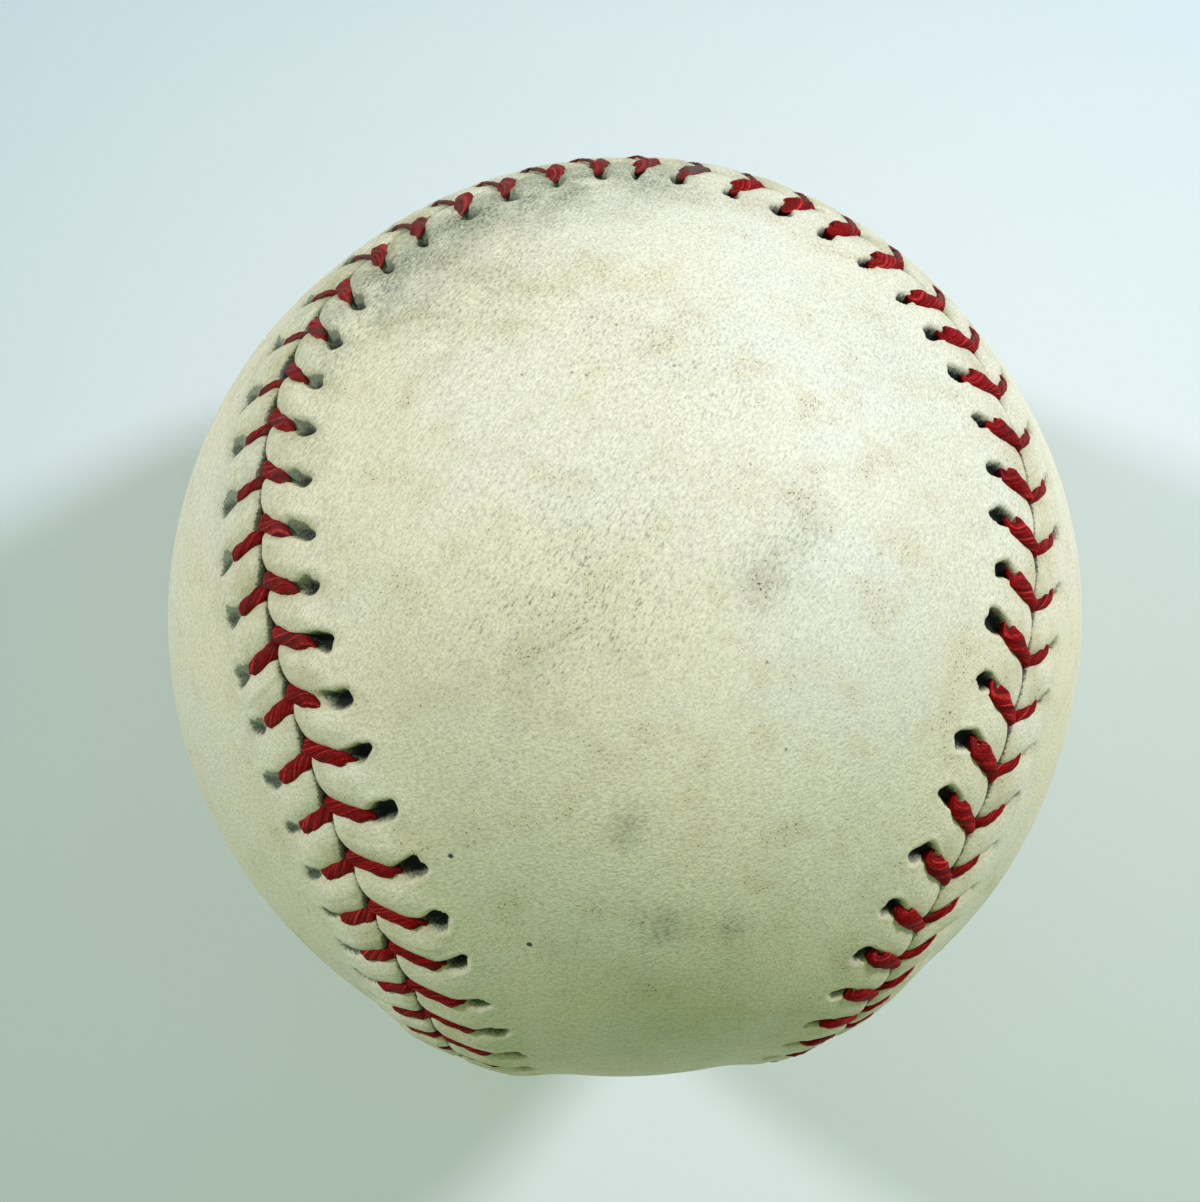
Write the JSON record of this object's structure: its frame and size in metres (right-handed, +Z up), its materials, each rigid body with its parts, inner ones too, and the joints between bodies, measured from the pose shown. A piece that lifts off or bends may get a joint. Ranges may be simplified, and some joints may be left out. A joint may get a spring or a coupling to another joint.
{
  "type": "baseball",
  "caption": "Sewn leather ball for throwing and batting: a cork and rubber pill, wool and cotton windings, and a two-panel cream cover with raised red stitching.",
  "frame": {"origin": "centre of the ball", "axes": "+Z up through a lobe of the first panel, -Y through the first panel's waist, +Y through the second panel's waist, +X and -X through the second panel's lobes"},
  "size_m": [0.0746, 0.0754, 0.0746],
  "materials": {
    "cork": "pressed cork granules",
    "black_rubber": "matte moulded",
    "red_rubber": "matte moulded",
    "gray_wool": "wound yarn",
    "white_wool": "wound yarn",
    "white_cotton": "wound fine yarn",
    "cover_leather": "cream cowhide with fine grain, scuffed",
    "red_thread": "waxed twisted thread"
  },
  "bodies": {
    "root": {"cork_core": "cork", "black_half_shell_upper": "black_rubber", "black_half_shell_lower": "black_rubber", "sealing_gasket": "red_rubber", "red_rubber_jacket": "red_rubber", "first_wool_winding": "gray_wool", "second_wool_winding": "white_wool", "third_wool_winding": "gray_wool", "cotton_finish_winding": "white_cotton", "cover_panel_first": "cover_leather", "cover_panel_second": "cover_leather", "seam_thread": "red_thread"}
  },
  "joints": []
}
